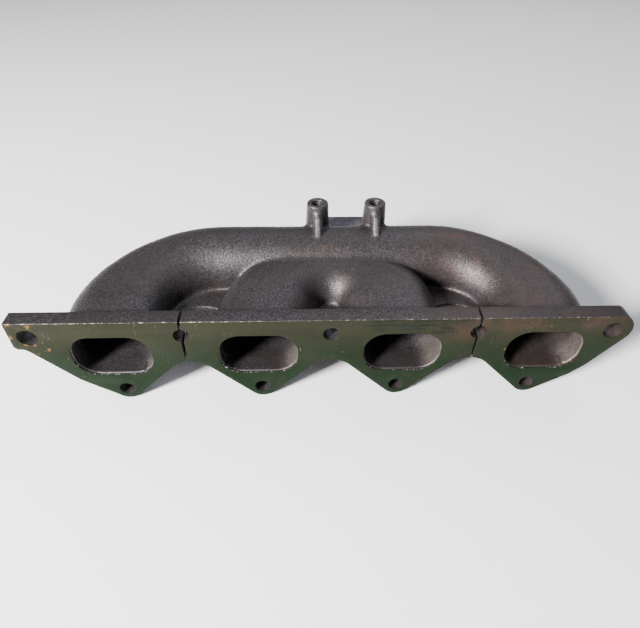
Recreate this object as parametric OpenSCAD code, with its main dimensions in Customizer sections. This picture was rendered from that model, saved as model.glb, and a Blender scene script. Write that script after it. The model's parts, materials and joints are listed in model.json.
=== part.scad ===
// Exhaust manifold for an in-line four-cylinder engine: one iron casting, drawn as its
// natural sections. Two nested arches of pipe join the four ports to one collector.
//
// X runs along the cylinder head, +Y points away from the head and +Z points up.
// The origin is the centre of the head face, at the height of the port centres.

/* [Ports] */
// Distance between neighbouring port centres
port_pitch = 93; // [88:1:98]
// Width of a port opening
port_w = 50.4; // [46:0.2:52]
// Height of a port opening
port_h = 33; // [30:0.5:34]
// Corner radius of a port opening
port_r = 14.3; // [10:0.1:15]
// Thickness of the cast walls
wall = 5.3; // [4:0.1:6]

/* [Head flange] */
// Thickness of the flange
flange_t = 11; // [9:0.5:14]
// Height of the flange's top edge above the port centres
flange_top = 29; // [27:0.5:32]
// Left end of the flange
flange_left_x = -197.7; // [-202:0.1:-196]
// Width of the saw cuts that let the flange expand
slit_w = 1.6; // [1:0.1:3]
// Height of the upper stud holes
upper_hole_z = 17.3; // [17:0.1:18]
// Distance of the lower stud holes below the port centres
lower_hole_drop = 30.8; // [30:0.1:32]
// Distance between neighbouring lower stud holes
lower_hole_pitch = 91.25; // [90:0.05:92]
// Radius of the stud holes
stud_hole_r = 5.1; // [4.5:0.1:5.5]
// Radius of the two end holes
end_hole_r = 6.2; // [5.5:0.1:6.5]
// Left end hole
end_hole_left_x = -186.5; // [-187:0.1:-185]
// Right end hole
end_hole_right_x = 179.3; // [178:0.1:180]
// Radius of the lobes around the lower stud holes
lobe_r = 9.3; // [8.5:0.1:10]
// Distance of the arched gaps' tops below the port centres
gap_top_drop = 5.4; // [5:0.1:6]

/* [Outer arch] */
// Half the distance between the two outer runners
outer_side_x = 142; // [140:0.5:143]
// X of the centre of the outer bends
outer_bend_x = 76.5; // [74:0.5:78]
// Y of the centre of the outer bends, where the port necks end
outer_bend_y = 32; // [31:0.5:34]
// Y of the collector's axis
log_y = 88.5; // [87:0.5:90]
// Z of the collector's axis
log_z = 9.7; // [8:0.1:11]
// Half width of the collector
log_half_w = 25.2; // [24:0.1:26]
// Half height of the collector
log_half_h = 26.6; // [25:0.1:27]

/* [Inner arch] */
// Half width of the inner arch at its bends
inner_half_span = 73.1; // [72:0.1:76]
// X of the inner arch's middle
inner_mid_x = 0.8; // [0:0.1:2]
// Y of the inner arch's rear side
inner_rear_y = 83; // [81:0.1:88]
// Radius of the inner arch's outer corners, in plan
inner_corner_r = 46; // [42:0.1:47]
// Radius of the pipe where the two inner runners meet
inner_pipe_r = 18.6; // [18:0.1:20]
// Half height of the inner arch where its runners meet
inner_half_h = 23; // [22:0.1:24]
// Extra height along the middle of the two inner runners
inner_crown = 1; // [0.5:0.1:2.5]
// How far the inner arch rises on its way to the collector
inner_lift = 3.3; // [2:0.1:4]
// Half width of the gap between the inner runners at the head flange
inner_gap_foot = 15.5; // [14:0.5:16]
// Radius of that gap's round end
inner_gap_end = 8.3; // [8:0.1:10]
// Y of the centre of the gap's round end
inner_gap_y = 37.5; // [37:0.5:40]

/* [Webs] */
// Thickness of the webs between the runners
web_t = 6; // [5:0.5:7]
// Radius of the windows in front of the side webs
web_window_r = 22; // [21:0.5:23]

/* [Outlet] */
// X of the outlet's axis
outlet_x = 17; // [14:1:18]
// Distance of the outlet's axis below the port centres
outlet_drop = 8; // [6:0.5:9]
// Radius of the outlet bore
outlet_r = 21; // [19:0.5:21]
// Y of the outlet flange's front face
outlet_front_y = 116; // [115.5:0.5:118]
// Thickness of the outlet flange
outlet_t = 14; // [12:0.5:16]
// Half the distance between the outlet flange's upper bolts
outlet_top_bolt_x = 21.5; // [21:0.5:22]
// Half the distance between the outlet flange's lower bolts
outlet_low_bolt_x = 30; // [28:0.5:32]
// Radius of the outlet flange's corners
outlet_corner_r = 10; // [9:0.5:10]
// Radius of the outlet flange's bolt holes
outlet_bolt_r = 5.2; // [4.5:0.1:5.5]

/* [Shield posts] */
// Distance between the two posts
post_pitch = 42; // [38:0.5:44]
// X midway between the two posts
post_mid_x = 15; // [12:1:18]
// Y of the posts
post_y = 102; // [100:0.5:103]
// Height of the posts' tops
post_top = 52.4; // [48:0.1:54]
// Radius of a post at its top
post_top_r = 7.7; // [7:0.1:8]
// Radius of a post at its foot
post_foot_r = 8.9; // [8.2:0.1:9]
// Radius of a post's threaded hole
post_hole_r = 3.4; // [2.5:0.1:3.6]
// Depth of a post's threaded hole
post_hole_depth = 16; // [12:0.5:16]
// Width of the rib in front of a post
rib_w = 6.3; // [5:0.1:7]

/* [Hidden] */
$fn = 48;

ring_sides = 40;      // corners in one ring of a swept skin
bend_steps = 8;       // rings along one bend
ball_sides = 36;      // corners round a ball of the inner arch
far = 300;            // reach of a cutting box, past everything
eps = 0.01;           // overshoot of a cut
iron = [0.28, 0.27, 0.28];
machined = [0.42, 0.42, 0.36];

inner_port_x = port_pitch / 2;
outer_port_x = 1.5 * port_pitch;
outlet_z = -outlet_drop;
lower_hole_z = -lower_hole_drop;
cut_x = port_pitch;                         // where the saw cuts are
gap_slope = 45;                             // slope of the lobes' sides, in degrees
post_chamfer = 1.4;                         // lead-in of a post's threaded hole
post_foot_z = log_z + 12;                   // where a post starts, inside the collector's wall

// A section is [half width, half height, corner radius] of the casting's outer skin.
port_section = [port_w / 2 + wall, port_h / 2 + wall, port_r + wall];
outer_bend_section = [33, 22.4, 22.4];
outer_log_section = [log_half_w, log_half_h, log_half_w];

// The arch is [port x, side x, bend x, bend y, log y, bend z, log z, three sections].
outer_arch = [outer_port_x, outer_side_x, outer_bend_x, outer_bend_y, log_y, 1.9, log_z,
              [port_section, outer_bend_section, outer_log_section]];

// ---- curves and swept skins ----

function mix(p, q, t) = p + (q - p) * t;
function ease(t) = t * t * (3 - 2 * t);
function sgn(v) = v < 0 ? -1 : 1;
function arc(c, r, from, to, n = 12) =
    [for (i = [0 : n]) c + r * [cos(mix(from, to, i / n)), sin(mix(from, to, i / n))]];

// A station is [centre, outward direction, section] on the right half of an arch.
// u runs from 0 at the port through 1 at the start of the bend to 2 at its end.
function neck_station(a, u) =
    [[mix(a[0], a[1], ease(u)), mix(flange_t, a[3], u), a[5] * ease(u)], [1, 0],
     mix(a[7][0], a[7][1], ease(u))];
function bend_station(a, v) =
    let (q = 90 * v, rx = a[1] - a[2], ry = a[4] - a[3], d = [ry * cos(q), rx * sin(q)])
    [[a[2] + rx * cos(q), a[3] + ry * sin(q), mix(a[5], a[6], ease(v))], d / norm(d),
     mix(a[7][1], a[7][2], ease(v))];
function half_stations(a) =
    [for (u = [0, 0.5]) neck_station(a, u), for (k = [0 : bend_steps]) bend_station(a, k / bend_steps)];
function mirrored(s) = [[-s[0].x, s[0].y, s[0].z], [-s[1].x, s[1].y], s[2]];
function stations(a) =
    let (h = half_stations(a), n = len(h))
    [for (s = h) mirrored(s), for (i = [n - 1 : -1 : 0]) h[i]];

// One ring: a rounded rectangle that stands across the path, grown by inset.
function ring(s, inset) =
    let (a = s[2][0] - inset, b = s[2][1] - inset, r = s[2][2] - inset)
    [for (i = [0 : ring_sides - 1])
        let (q = 360 * (i + 0.5) / ring_sides, across = sgn(cos(q)) * (a - r) + r * cos(q),
             up = sgn(sin(q)) * (b - r) + r * sin(q))
        [s[0].x + s[1].x * across, s[0].y + s[1].y * across, s[0].z + up]];

module swept_skin(rings) {
    n = ring_sides;
    m = len(rings);
    polyhedron(
        points = [for (r = rings) each r],
        faces = concat(
            [[for (j = [0 : n - 1]) j]],
            [for (i = [0 : m - 2], j = [0 : n - 1])
                [i * n + j, (i + 1) * n + j, (i + 1) * n + (j + 1) % n, i * n + (j + 1) % n]],
            [[for (j = [n - 1 : -1 : 0]) (m - 1) * n + j]]));
}

module outer_outside() {
    swept_skin([for (s = stations(outer_arch)) ring(s, 0)]);
}

// The gas way starts a little in front of the port necks, to cut clean through.
module outer_inside() {
    rings = [for (s = stations(outer_arch)) ring(s, wall)];
    early = [0, -1, 0];
    swept_skin(concat([[for (p = rings[0]) p + early]], rings,
                      [[for (p = rings[len(rings) - 1]) p + early]]));
}

// One inner runner: balls along its outer side and beside the gap, joined by a hull.
module inner_leg(side, r) {
    pipe = inner_pipe_r;
    middle = side * inner_mid_x;
    centre = [middle + inner_half_span - inner_corner_r, inner_rear_y - inner_corner_r];
    foot_out = inner_port_x + port_section[0] - pipe;
    foot_in = inner_gap_foot + pipe;
    end_in = middle + inner_gap_end + pipe;
    rear = [for (p = arc(centre, inner_corner_r - pipe, 0, 90, 4)) [p.x, p.y, inner_lift]];
    front = [for (x = [foot_out, foot_in], y = [-pipe, flange_t]) [x, y, 0]];
    crest = [[inner_port_x, -pipe, inner_crown], [inner_port_x, flange_t, inner_crown],
             [middle + 42, inner_gap_y, inner_lift + inner_crown]];
    hull() for (p = concat(front, rear, crest, [[end_in, inner_gap_y, inner_lift]]))
        translate([side * p.x, p.y, p.z]) sphere(r, $fn = ball_sides);
}

module inner_skin(inset) {
    r = inner_pipe_r - inset;
    cross_y = inner_rear_y - inner_pipe_r;
    reach = inner_half_span - inner_corner_r;
    scale([1, 1, (inner_half_h - inset) / r]) {
        inner_leg(-1, r);
        inner_leg(1, r);
        hull() for (x = [-reach, reach])
            translate([inner_mid_x + x, cross_y, inner_lift]) sphere(r, $fn = ball_sides);
    }
}

module outlet_way(r, log_r) {
    hull() {
        translate([outlet_x, log_y, log_z - 2]) sphere(log_r, $fn = 32);
        translate([outlet_x, outlet_front_y + eps, outlet_z]) rotate([90, 0, 0]) cylinder(h = 1, r = r);
    }
}

module gas_way() {
    outer_inside();
    inner_skin(wall);
    outlet_way(outlet_r, log_half_w - wall - 1);
}

// box of the space between two corners
module space(low, high) {
    translate(low) cube(high - low);
}

// A group inside as_mesh() is evaluated as one closed mesh.
module as_mesh() {
    resize([0, 0, 0]) union() { children(); }
}

// ---- head flange ----

function lobe(x) = arc([x, lower_hole_z], lobe_r, 270 - gap_slope, 270 + gap_slope);

// Arched gap between two lobes: an arc that the sides of both lobes meet without a corner.
function gap(x) =
    let (drop = lower_hole_drop - gap_top_drop,
         r = (lower_hole_pitch / 2 - lobe_r / sin(gap_slope) - drop) / (1 / cos(gap_slope) - 1),
         c = [x, -gap_top_drop - r])
    arc(c, r, 90 + gap_slope, 90 - gap_slope);

function flange_outline() =
    let (right_end = [end_hole_right_x, upper_hole_z], p = lower_hole_pitch)
    concat(
        [[flange_left_x, flange_top], [flange_left_x, 9.5], [-195.8, 7.5], [-191.5, 7],
         [-188.8, 4.6], [-165.5, -21.3], [-161, -24.8]],
        lobe(-1.5 * p), gap(-p), lobe(-p / 2), gap(0), lobe(p / 2), gap(p), lobe(1.5 * p),
        [[164, -23.2], [172.1, -14.8]],
        arc(right_end, 12.4, -30, 70));

module stand_up() {
    rotate([90, 0, 0]) mirror([0, 0, 1]) children();
}

module rounded_opening(w, h, r) {
    hull()
        for (sx = [-1, 1], sz = [-1, 1])
            translate([sx * (w / 2 - r), sz * (h / 2 - r)]) circle(r);
}

module flange_segment(low_x, high_x) {
    color(machined)
    stand_up()
    difference() {
        linear_extrude(flange_t)
            intersection() {
                polygon(flange_outline());
                translate([low_x, -far / 2]) square([high_x - low_x, far]);
            }
        for (k = [-1.5 : 1 : 1.5])
            if (k * port_pitch > low_x && k * port_pitch < high_x)
                translate([k * port_pitch, 0, -1]) linear_extrude(flange_t + 2)
                    rounded_opening(port_w, port_h, port_r);
        for (k = [-1.5 : 1 : 1.5])
            if (k * port_pitch > low_x && k * port_pitch < high_x)
                flange_hole(k * lower_hole_pitch, lower_hole_z, stud_hole_r);
        for (k = [-1 : 1]) flange_hole(k * port_pitch, upper_hole_z, stud_hole_r);
        flange_hole(end_hole_left_x, upper_hole_z, end_hole_r);
        flange_hole(end_hole_right_x, upper_hole_z, end_hole_r);
    }
}

module flange_hole(x, z, r) {
    translate([x, z, -1]) cylinder(h = flange_t + 2, r = r);
}

module flange_left() { flange_segment(-far, -cut_x - slit_w / 2); }
module flange_centre() { flange_segment(-cut_x + slit_w / 2, cut_x - slit_w / 2); }
module flange_right() { flange_segment(cut_x + slit_w / 2, far); }

// ---- port necks, runners and collector ----

module port_neck(x) {
    half = port_pitch / 2 - eps;
    color(iron)
    as_mesh()
    intersection() {
        difference() {
            union() {
                outer_outside();
                inner_skin(0);
            }
            outer_inside();
            inner_skin(wall);
        }
        space([x - half, flange_t, -far / 2], [x + half, outer_bend_y, far / 2]);
    }
}

module port_neck_1() { port_neck(-outer_port_x); }
module port_neck_2() { port_neck(-inner_port_x); }
module port_neck_3() { port_neck(inner_port_x); }
module port_neck_4() { port_neck(outer_port_x); }

module outer_runner(side) {
    color(iron)
    as_mesh()
    mirror([side < 0 ? 1 : 0, 0, 0])
    intersection() {
        difference() {
            outer_outside();
            outer_inside();
            inner_skin(wall);
        }
        space([outer_bend_x, outer_bend_y, -far / 2], [far, far, far / 2]);
    }
}

// An inner runner ends where it meets its twin, and where it runs into the collector.
module inner_runner(low_x, high_x) {
    color(iron)
    as_mesh()
    intersection() {
        difference() {
            inner_skin(0);
            outer_outside();
            inner_skin(wall);
        }
        space([low_x, outer_bend_y, -far / 2], [high_x, far, far / 2]);
    }
}

module runner_1() { outer_runner(-1); }
module runner_2() { inner_runner(-far, inner_mid_x); }
module runner_3() { inner_runner(inner_mid_x, far); }
module runner_4() { outer_runner(1); }

module collector_log() {
    color(iron)
    as_mesh()
    intersection() {
        difference() {
            outer_outside();
            gas_way();
        }
        space([-outer_bend_x, outer_bend_y, -far / 2], [outer_bend_x, far, far / 2]);
    }
}

// ---- webs ----

// plate at the ports' height, with the pipes taken out of it
module web(low_x, high_x, low_y, high_y, window, window_r) {
    color(iron)
    as_mesh()
    difference() {
        space([low_x, low_y, -web_t / 2], [high_x, high_y, web_t / 2]);
        translate([window.x, window.y, -web_t]) cylinder(h = 2 * web_t, r = window_r, $fn = 64);
        outer_outside();
        inner_skin(0);
    }
}

module side_web() {
    web(50, outer_side_x, 22.5, log_y, [87.5, 22.5], web_window_r);
}

module web_left() { mirror([1, 0, 0]) side_web(); }
module web_centre() { web(-20, 20, 20, inner_rear_y - inner_pipe_r, [inner_mid_x, 20], 17); }
module web_right() { side_web(); }

// ---- outlet ----

module outlet_neck() {
    color(iron)
    as_mesh()
    difference() {
        intersection() {
            outlet_way(outlet_r + wall + 1, log_half_w - 1);
            space([-far, 0, -far], [far, outlet_front_y, far]);
        }
        outer_outside();
        inner_skin(0);
        outlet_way(outlet_r, log_half_w - wall - 1);
    }
}

module outlet_flange() {
    top_z = flange_top - 5 - outlet_corner_r;
    low_z = lower_hole_z - lobe_r + outlet_corner_r;
    bolts = [for (sx = [-1, 1]) each
        [[outlet_x + sx * outlet_top_bolt_x, top_z], [outlet_x + sx * outlet_low_bolt_x, low_z]]];
    color(iron)
    translate([0, outlet_front_y, 0])
    stand_up()
    difference() {
        linear_extrude(outlet_t) hull() for (b = bolts) translate(b) circle(outlet_corner_r);
        for (b = bolts) translate([b.x, b.y, -1]) cylinder(h = outlet_t + 2, r = outlet_bolt_r);
        translate([outlet_x, outlet_z, -1]) cylinder(h = outlet_t + 2, r = outlet_r);
    }
}

// ---- heat shield posts ----

// the collector's straight stretch, as a true elliptical cylinder
module collector_body() {
    translate([-outer_bend_x, log_y, log_z]) rotate([90, 0, 90])
        scale([log_half_w, log_half_h, 1]) cylinder(h = 2 * outer_bend_x, r = 1);
}

function post_x(side) = post_mid_x + side * post_pitch / 2;

module post_cone(side) {
    translate([post_x(side), post_y, post_foot_z])
        cylinder(h = post_top - post_foot_z, r1 = post_foot_r, r2 = post_top_r);
}

module shield_post(side) {
    color(iron)
    difference() {
        post_cone(side);
        translate([post_x(side), post_y, post_top - post_hole_depth])
            cylinder(h = post_hole_depth + 1, r = post_hole_r);
        translate([post_x(side), post_y, post_top - post_chamfer])
            cylinder(h = post_chamfer + eps, r1 = post_hole_r, r2 = post_hole_r + post_chamfer);
        collector_body();
    }
}

// A rib runs from near the top of its post down to the front of the collector.
module post_rib(side) {
    x = post_x(side);
    top = [post_y - 5, post_top - 4];
    toe = [78.5, log_z + 20];
    color(iron)
    as_mesh()
    difference() {
        hull() {
            for (p = [top, toe]) translate([x, p.x, p.y]) sphere(rib_w / 2, $fn = 24);
            translate([x - rib_w / 2, post_y - 4, toe.y]) cube([rib_w, 1, top.y - toe.y]);
        }
        post_cone(side);
        outer_outside();
        collector_body();
    }
}

module shield_post_left() { shield_post(-1); }
module shield_post_right() { shield_post(1); }
module post_rib_left() { post_rib(-1); }
module post_rib_right() { post_rib(1); }

flange_left();
flange_centre();
flange_right();
port_neck_1();
port_neck_2();
port_neck_3();
port_neck_4();
runner_1();
runner_2();
runner_3();
runner_4();
collector_log();
web_left();
web_centre();
web_right();
outlet_neck();
outlet_flange();
shield_post_left();
shield_post_right();
post_rib_left();
post_rib_right();
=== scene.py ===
# %% [markdown]
# # Exhaust manifold
# One iron casting stands on a pale floor: a long machined flange with four ports, two nested
# arches of pipe behind it, and two ribbed posts on top. The CAD frame gives every place and size.
# Lengths below are in millimetres unless a name says otherwise, because a caster thinks in them.

# %% Frame and tools
import json
import math

import bmesh
import bpy
import numpy as np
from mathutils import Matrix, Vector, noise


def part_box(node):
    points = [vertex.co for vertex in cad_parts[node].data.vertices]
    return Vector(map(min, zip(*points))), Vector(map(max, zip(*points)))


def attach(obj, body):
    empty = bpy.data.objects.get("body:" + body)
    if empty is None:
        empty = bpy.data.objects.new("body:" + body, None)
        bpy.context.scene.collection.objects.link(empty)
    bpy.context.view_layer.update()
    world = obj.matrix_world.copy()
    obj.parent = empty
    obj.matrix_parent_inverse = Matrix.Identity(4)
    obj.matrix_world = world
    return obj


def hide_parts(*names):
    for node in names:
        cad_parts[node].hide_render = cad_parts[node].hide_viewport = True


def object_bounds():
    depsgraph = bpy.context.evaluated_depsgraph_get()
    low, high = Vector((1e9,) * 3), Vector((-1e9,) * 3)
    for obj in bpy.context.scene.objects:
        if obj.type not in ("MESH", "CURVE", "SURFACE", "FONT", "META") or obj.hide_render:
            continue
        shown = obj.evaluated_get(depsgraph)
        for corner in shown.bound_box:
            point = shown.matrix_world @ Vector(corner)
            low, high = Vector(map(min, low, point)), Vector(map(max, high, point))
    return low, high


MM = 0.001
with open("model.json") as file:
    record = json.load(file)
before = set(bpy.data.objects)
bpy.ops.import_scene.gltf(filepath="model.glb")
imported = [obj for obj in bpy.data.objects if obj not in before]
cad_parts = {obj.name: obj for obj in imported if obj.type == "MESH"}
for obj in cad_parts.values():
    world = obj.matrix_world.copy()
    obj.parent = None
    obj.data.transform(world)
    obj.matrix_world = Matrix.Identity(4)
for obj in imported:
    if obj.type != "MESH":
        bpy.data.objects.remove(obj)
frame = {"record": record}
cad_box = [[round(v, 5) for v in corner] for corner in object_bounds()]
print("CAD box in metres:", cad_box)


def box_mm(node):
    low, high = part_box(node)
    return np.array(low) / MM, np.array(high) / MM


def stand(name, data):
    """A new object in the scene, at the origin."""
    piece = bpy.data.objects.new(name, data)
    bpy.context.scene.collection.objects.link(piece)
    return piece


# %% [markdown]
# ## Reading the driving sizes off the frame
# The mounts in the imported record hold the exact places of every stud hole, so the visible flange
# is drilled where the CAD model is. Only the cast skin's own rounding is decided here.

# %% Sizes
mounts = {m["name"]: m for m in frame["record"]["mounts"]}


def mount_place(name):
    return np.array(mounts[name]["pos_m"]) / MM


FLANGE_LOW, _ = box_mm("flange_left")
_, FLANGE_HIGH = box_mm("flange_right")
FLANGE_T = FLANGE_HIGH[1]
FLANGE_TOP = box_mm("flange_centre")[1][2]
SLIT_X = (box_mm("flange_right")[0][0] + box_mm("flange_centre")[1][0]) / 2
PORT_PITCH = SLIT_X
STUD_R = mounts["upper_studs_left"]["dims"]["hole_r_mm"]
END_R = mounts["end_studs"]["dims"]["hole_r_mm"]
UPPER_Z = mount_place("upper_studs_left")[2]
LOWER_Z = mount_place("lower_studs_inner")[2]
LOWER_PITCH = mounts["lower_studs_inner"]["dims"]["spacing_x_mm"]
END_MID = mount_place("end_studs")[0]
END_HALF = mounts["end_studs"]["dims"]["spacing_x_mm"] / 2
PORT_W, PORT_H, PORT_R = 50.4, 33.0, 14.3
WALL = 5.3
POSTS = [mount_place("shield_post_hole_left"), mount_place("shield_post_hole_right")]
POST_TOP = box_mm("shield_post_left")[1][2]
OUTLET = mount_place("outlet_bore")
OUTLET_FRONT, OUTLET_BACK = box_mm("outlet_flange")[0][1], box_mm("outlet_flange")[1][1]
FLOOR_Z = cad_box[0][2] / MM
print("flange", FLANGE_LOW.round(1), FLANGE_HIGH.round(1), "top", round(FLANGE_TOP, 1))

# %% [markdown]
# ## The cast skin as a distance field
# Sand-cast pipes have no sharp inner corners: where two walls meet, the pattern maker leaves a
# fillet. A boolean of tubes would give knife edges and need bevels that fail at such junctions.
# A distance field does it in one go: each tube, web and post is a function that says how far a
# point is from its surface, and a smooth minimum pours a fillet into every crotch.
# The gas way is a second field, taken out of the first, so the walls are as thick as real ones.

# %% Field helpers


def ease(t):
    t = np.clip(t, 0, 1)
    return t * t * (3 - 2 * t)


def mix(p, q, t):
    return p + (q - p) * t


def smooth_min(p, q, fillet):
    h = np.clip(fillet - np.abs(p - q), 0, None) / fillet
    return np.minimum(p, q) - h * h * h * fillet / 6


def smooth_max(p, q, round_over):
    return -smooth_min(-p, -q, round_over)


def corner(p, q):
    """Distance from a square corner whose two sides are p and q away."""
    return np.hypot(np.maximum(p, 0), np.maximum(q, 0)) + np.minimum(np.maximum(p, q), 0)


# %% [markdown]
# ## One arch
# An arch is a path in plan view (straight neck, quarter-ellipse bend, straight collector) with a
# section that changes from the port's rounded rectangle to a round pipe. Only the right half is
# described; the left half is the same function of |x|, which keeps the casting symmetrical.

# %% Arch field


class Arch:
    def __init__(self, port_x, side_x, bend, log_y, lift, sections, steps=26):
        neck = np.linspace(0, 1, 8)
        turn = np.linspace(0, math.pi / 2, steps)
        x = np.concatenate([[port_x], mix(port_x, side_x, ease(neck[:-1])),
                            bend[0] + (side_x - bend[0]) * np.cos(turn), [0.0]])
        y = np.concatenate([[-30.0], mix(FLANGE_T, bend[1], neck[:-1]),
                            bend[1] + (log_y - bend[1]) * np.sin(turn), [log_y]])
        u = np.concatenate([[0.0], neck[:-1], 1 + np.linspace(0, 1, steps), [2.0]])
        self.points = np.stack([x, y], -1)
        self.u = u
        self.lift = lift
        self.sections = sections

    def nearest(self, x, y):
        """Distance in plan from the path and the place u along it, for arrays x and y."""
        start, end = self.points[:-1], self.points[1:]
        along = end - start
        best = np.full(x.shape, 1e9)
        place = np.zeros(x.shape)
        for i in range(len(start)):
            dx, dy = x - start[i, 0], y - start[i, 1]
            t = (dx * along[i, 0] + dy * along[i, 1]) / (along[i] @ along[i])
            t = np.clip(t, 0, 1)
            d = np.hypot(dx - t * along[i, 0], dy - t * along[i, 1])
            closer = d < best
            best = np.where(closer, d, best)
            place = np.where(closer, mix(self.u[i], self.u[i + 1], t), place)
        return best, place

    def field(self, x, y, z, inset=0.0):
        side, u = self.nearest(np.abs(x), y)
        near, far = ease(u), ease(u - 1)
        a, b, r = [mix(mix(p, q, near), s, far) - inset for p, q, s in zip(*self.sections)]
        rise = mix(self.lift[0] * near, self.lift[1], far)
        across = side - (a - r)
        up = np.abs(z - rise) - (b - r)
        return corner(across, up) - r


OUTER_X = 142
BEND_X, BEND_Y = 76.5, 32
LOG_Y, LOG_Z, LOG_HALF_W, LOG_HALF_H = 88.5, 9.7, 25.2, 26.6
NECK_LIFT = 1.9
port_section = (PORT_W / 2 + WALL, PORT_H / 2 + WALL, PORT_R + WALL)
bend_section = (33, 22.4, 22.4)
log_section = (LOG_HALF_W, LOG_HALF_H, LOG_HALF_W)
outer_arch = Arch(1.5 * PORT_PITCH, OUTER_X, (BEND_X, BEND_Y), LOG_Y, (NECK_LIFT, LOG_Z),
                  (port_section, bend_section, log_section))

# %% [markdown]
# ## The inner arch
# The two middle runners are wide, and they meet head-on, so their top is one level crest that runs
# across and turns the corners. It is a fat skin round a flat shape in plan: a rounded arch with a
# tongue-shaped gap taken out. The skin's half thickness grows towards the middle of each runner.

# %% Inner arch field
PIPE_R = 18.6
ARCH_MID, ARCH_HALF, ARCH_REAR, ARCH_CORNER = 0.8, 73.1, 83.0, 46.0
ARCH_HALF_H, ARCH_LIFT, ARCH_CROWN = 23.0, 3.3, 1.0
GAP_END, GAP_FOOT, GAP_Y, GAP_SHOULDER = 8.3, 15.5, 37.5, 25.0


def inner_field(x, y, z, inset=0.0):
    across = np.abs(x - ARCH_MID * ease((y - FLANGE_T) / 30))
    half = mix(PORT_PITCH / 2 + PORT_W / 2 + WALL, ARCH_HALF, ease((y - FLANGE_T) / 28)) - PIPE_R
    half = half + np.where(x < 0, 4.0, 0.0) * ease((60 - y) / 40)
    rear = ARCH_REAR - PIPE_R
    turn = ARCH_CORNER - PIPE_R
    px, py = across - half + turn, y - rear + turn
    plan = corner(px, py) - turn
    gap_r = mix(GAP_END, GAP_FOOT, np.clip((GAP_Y - y) / (GAP_Y - FLANGE_T), 0, 1.6)) + GAP_SHOULDER
    gap = (gap_r - np.hypot(across, np.maximum(y - GAP_Y, 0))) * PIPE_R / GAP_SHOULDER
    plan = smooth_max(plan, gap, 4)
    half_h = ARCH_HALF_H + ARCH_CROWN * ease(-plan / 13) - inset
    rise = z - ARCH_LIFT * ease((y - FLANGE_T) / 42)
    pipe = PIPE_R - inset
    return np.hypot(np.maximum(plan, 0), rise * (pipe / half_h)) - pipe

# %% [markdown]
# ## Webs, posts and outlet in the field
# The webs are plates at port height with a round window in front. The posts and their gusset
# ribs grow out of the collector. The outlet neck is a short cone between two spheres.

# %% Other fields
WEB_HALF_T = 3.0
SIDE_WEB = (92, 32, 55, 34)  # middle and half length along X, then along Y
CENTRE_WEB = (26, 44, 24)  # half length along X, then middle and half length along Y
SIDE_WINDOW = (87.5, 22.5, 22.0)
CENTRE_WINDOW = (0.8, 20.0, 17.0)


def web_field(x, y, z):
    ax = np.abs(x)
    sides = np.maximum(np.abs(ax - SIDE_WEB[0]) - SIDE_WEB[1], np.abs(y - SIDE_WEB[2]) - SIDE_WEB[3])
    sides = smooth_max(sides, SIDE_WINDOW[2] - np.hypot(ax - SIDE_WINDOW[0], y - SIDE_WINDOW[1]), 2)
    middle = np.maximum(ax - CENTRE_WEB[0], np.abs(y - CENTRE_WEB[1]) - CENTRE_WEB[2])
    middle = smooth_max(middle, CENTRE_WINDOW[2] - np.hypot(x - CENTRE_WINDOW[0], y - CENTRE_WINDOW[1]), 2)
    return smooth_max(np.minimum(sides, middle), np.abs(z) - WEB_HALF_T, 2.5)


POST_R, POST_FOOT_R, POST_FOOT_Z = 7.75, 9.1, 26.0
STUB_LOW, STUB_TOP = 27, 43
CLEAR_R, CLEAR_Z = 5.2, 37
RIB_LOW = 27.5
NECK_IN, NECK_OUT = (18.9, 20.8), (24.0, 26.8)


def cone_field(x, y, z, foot, top, foot_r, top_r):
    slope = (foot_r - top_r) / (top - foot)
    radius = foot_r - slope * (z - foot)
    side = (np.hypot(x, y) - radius) / math.hypot(1, slope)
    return smooth_max(side, z - top, 2.0)


def rib_field(x, y, z, half_w=3.15):
    """A slanting gusset: its round front edge runs from the post's neck down to the collector."""
    high, low = np.array([95.0, POST_TOP - 3.2]), np.array([76.5, 32.0])
    run = (high - low) / np.linalg.norm(high - low)
    front = -(y - low[0]) * run[1] + (z - low[1]) * run[0]
    round_r = half_w - 0.4
    q, p = np.abs(x) - half_w + round_r, front + round_r
    body = np.hypot(np.maximum(q, 0), np.maximum(p, 0)) - round_r + np.minimum(np.maximum(q, p), 0)
    ends = np.maximum(y - POSTS[0][1], RIB_LOW - z)
    return smooth_max(body, ends, 1.5)


def outlet_field(x, y, z, r_in, r_out):
    start = np.array([OUTLET[0], LOG_Y, LOG_Z - 2])
    end = np.array([OUTLET[0], OUTLET_FRONT + 4, OUTLET[2]])
    run = end - start
    t = (x - start[0]) * run[0] + (y - start[1]) * run[1] + (z - start[2]) * run[2]
    t = np.clip(t / (run @ run), 0, 1)
    away = np.sqrt((x - start[0] - t * run[0]) ** 2 + (y - start[1] - t * run[1]) ** 2
                   + (z - start[2] - t * run[2]) ** 2)
    return away - mix(r_in, r_out, t)


def post_body(x, y, z, post):
    return cone_field(x - post[0], y - post[1], z, POST_FOOT_Z, POST_TOP, POST_FOOT_R, POST_R)


def port_field(x, z):
    """Distance from the nearest port's outline, in the plane of the head face."""
    across = np.abs(np.mod(np.abs(x), PORT_PITCH) - PORT_PITCH / 2) - PORT_W / 2 + PORT_R
    up = np.abs(z) - PORT_H / 2 + PORT_R
    return corner(across, up) - PORT_R


def gas_field(x, y, z):
    ways = smooth_min(outer_arch.field(x, y, z, WALL), inner_field(x, y, z, WALL), 8)
    ways = smooth_min(ways, outlet_field(x, y, z, *NECK_IN), 5)
    return mix(port_field(x, z) + 0.35, ways, ease((y - FLANGE_T) / 16))


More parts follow.
